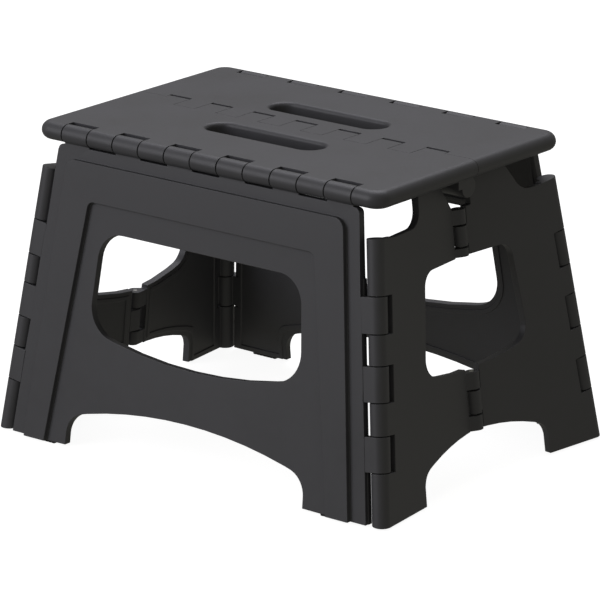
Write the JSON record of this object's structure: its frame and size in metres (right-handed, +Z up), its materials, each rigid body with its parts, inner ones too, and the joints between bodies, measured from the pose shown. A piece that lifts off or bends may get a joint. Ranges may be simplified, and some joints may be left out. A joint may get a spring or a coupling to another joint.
{
  "type": "folding step stool",
  "caption": "Low folding step stool of moulded plastic panels on knuckle hinges, with handle slots in the split top.",
  "frame": {"origin": "on the floor, under the middle of the top", "axes": "+X along the handle slots, +Y from the front leg panel to the rear one, +Z up"},
  "size_m": [0.3418, 0.2522, 0.22],
  "materials": {
    "moulded_plastic": "fine satin moulded texture",
    "pin_steel": "drawn wire",
    "foot_rubber": "matt"
  },
  "bodies": {
    "leg_front": {"leg_front": "moulded_plastic", "pin_edge_front": "pin_steel", "pin_corner_front_right": "pin_steel", "pin_corner_front_left": "pin_steel", "foot_pad_front_right": "foot_rubber", "foot_pad_front_left": "foot_rubber"},
    "top_front": {"top_front": "moulded_plastic", "pin_fold": "pin_steel"},
    "top_rear": {"top_rear": "moulded_plastic"},
    "leg_rear": {"leg_rear": "moulded_plastic", "pin_edge_rear": "pin_steel", "pin_corner_rear_right": "pin_steel", "pin_corner_rear_left": "pin_steel", "foot_pad_rear_right": "foot_rubber", "foot_pad_rear_left": "foot_rubber"},
    "end_right_front": {"end_right_front": "moulded_plastic", "pins_middle_right": "pin_steel"},
    "end_right_rear": {"end_right_rear": "moulded_plastic"},
    "end_left_front": {"end_left_front": "moulded_plastic"},
    "end_left_rear": {"end_left_rear": "moulded_plastic", "pins_middle_left": "pin_steel"}
  },
  "joints": [
    {"name": "middle_fold", "type": "hinge", "parent": "top_front", "child": "top_rear", "pos_m": [0, 0, 0.202], "axis": [-1, 0, 0], "range_deg": [0, 180]},
    {"name": "front_edge", "type": "hinge", "parent": "leg_front", "child": "top_front", "pos_m": [0, -0.0935, 0.2135], "axis": [1, 0, 0], "range_deg": [0, 82.75]},
    {"name": "rear_edge", "type": "hinge", "parent": "top_rear", "child": "leg_rear", "pos_m": [0, 0.0935, 0.2135], "axis": [1, 0, 0], "range_deg": [0, 82.75]},
    {"name": "corner_front_right", "type": "hinge", "parent": "leg_front", "child": "end_right_front", "pos_m": [0.1645, -0.11653, 0], "axis": [-0.1227, 0.1252, 0.9845], "range_deg": [0, 84]},
    {"name": "corner_front_left", "type": "hinge", "parent": "leg_front", "child": "end_left_front", "pos_m": [-0.1645, -0.11653, 0], "axis": [-0.1227, -0.1252, -0.9845], "range_deg": [0, 84]},
    {"name": "corner_rear_right", "type": "hinge", "parent": "leg_rear", "child": "end_right_rear", "pos_m": [0.1645, 0.11653, 0], "axis": [0.1227, 0.1252, -0.9845], "range_deg": [0, 84]},
    {"name": "corner_rear_left", "type": "hinge", "parent": "leg_rear", "child": "end_left_rear", "pos_m": [-0.1645, 0.11653, 0], "axis": [0.1227, -0.1252, 0.9845], "range_deg": [0, 84]}
  ],
  "couplings": [
    {"joint": "front_edge", "follows": "middle_fold", "ratio": 0.45972},
    {"joint": "rear_edge", "follows": "middle_fold", "ratio": 0.45972},
    {"joint": "corner_front_right", "follows": "middle_fold", "ratio": 0.46667},
    {"joint": "corner_front_left", "follows": "middle_fold", "ratio": 0.46667},
    {"joint": "corner_rear_right", "follows": "middle_fold", "ratio": 0.46667},
    {"joint": "corner_rear_left", "follows": "middle_fold", "ratio": 0.46667}
  ]
}
